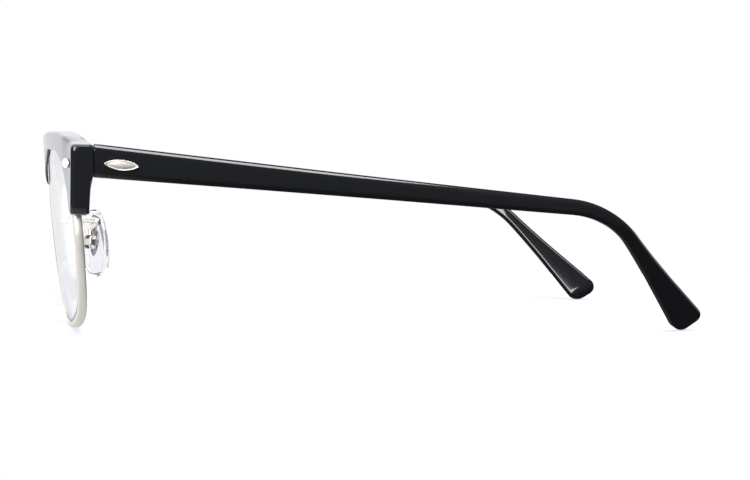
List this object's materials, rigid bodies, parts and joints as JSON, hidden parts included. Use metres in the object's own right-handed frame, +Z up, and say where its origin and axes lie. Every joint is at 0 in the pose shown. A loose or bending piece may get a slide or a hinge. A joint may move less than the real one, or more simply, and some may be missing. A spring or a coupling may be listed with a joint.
{
  "type": "eyeglass frame",
  "caption": "Browline optical frame with acetate brows and folding temples, metal rims and bridge, clear lenses and rocking nose pads.",
  "frame": {"origin": "middle of the footprint, on the floor that the rims and the temple tips stand on", "axes": "+Z up, the front faces -Y, the temples run along +Y, +X is the wearer's left"},
  "size_m": [0.1334, 0.1394, 0.0402],
  "materials": {
    "acetate": "polished black acetate",
    "silver_metal": "polished warm silver plating",
    "steel": "plain steel",
    "clear_lens": "clear show lens",
    "clear_pad": "clear soft pad"
  },
  "bodies": {
    "front_body": {"bridge": "silver_metal", "left_rim": "silver_metal", "left_rim_lock_screw": "steel", "left_brow_screw": "steel", "left_lens": "clear_lens", "left_brow": "acetate", "left_brow_plaque": "silver_metal", "left_front_hinge": "steel", "left_hinge_screw": "steel", "left_pad_arm": "silver_metal", "left_pad_box": "silver_metal", "left_pad_screw": "steel", "right_rim": "silver_metal", "right_rim_lock_screw": "steel", "right_brow_screw": "steel", "right_lens": "clear_lens", "right_brow": "acetate", "right_brow_plaque": "silver_metal", "right_front_hinge": "steel", "right_hinge_screw": "steel", "right_pad_arm": "silver_metal", "right_pad_box": "silver_metal", "right_pad_screw": "steel"},
    "left_temple_body": {"left_temple_hinge": "steel", "left_temple": "acetate", "left_temple_core": "steel", "left_temple_plaque": "silver_metal"},
    "right_temple_body": {"right_temple_hinge": "steel", "right_temple": "acetate", "right_temple_core": "steel", "right_temple_plaque": "silver_metal"},
    "left_pad_body": {"left_nose_pad": "clear_pad", "left_pad_core": "steel"},
    "right_pad_body": {"right_nose_pad": "clear_pad", "right_pad_core": "steel"}
  },
  "joints": [
    {"name": "left_temple_hinge", "type": "hinge", "parent": "front_body", "child": "left_temple_body", "pos_m": [0.0602, -0.05879, 0.03463], "axis": [0, 0, 1], "range_deg": [0, 80]},
    {"name": "right_temple_hinge", "type": "hinge", "parent": "front_body", "child": "right_temple_body", "pos_m": [-0.0602, -0.05879, 0.03463], "axis": [0, 0, -1], "range_deg": [0, 64]},
    {"name": "left_pad_rock", "type": "hinge", "parent": "front_body", "child": "left_pad_body", "pos_m": [0.01177, -0.05912, 0.01643], "axis": [0.6157, 0.788, 0], "range_deg": [-10, 10]},
    {"name": "right_pad_rock", "type": "hinge", "parent": "front_body", "child": "right_pad_body", "pos_m": [-0.01177, -0.05912, 0.01643], "axis": [-0.6157, 0.788, 0], "range_deg": [-10, 10]}
  ]
}
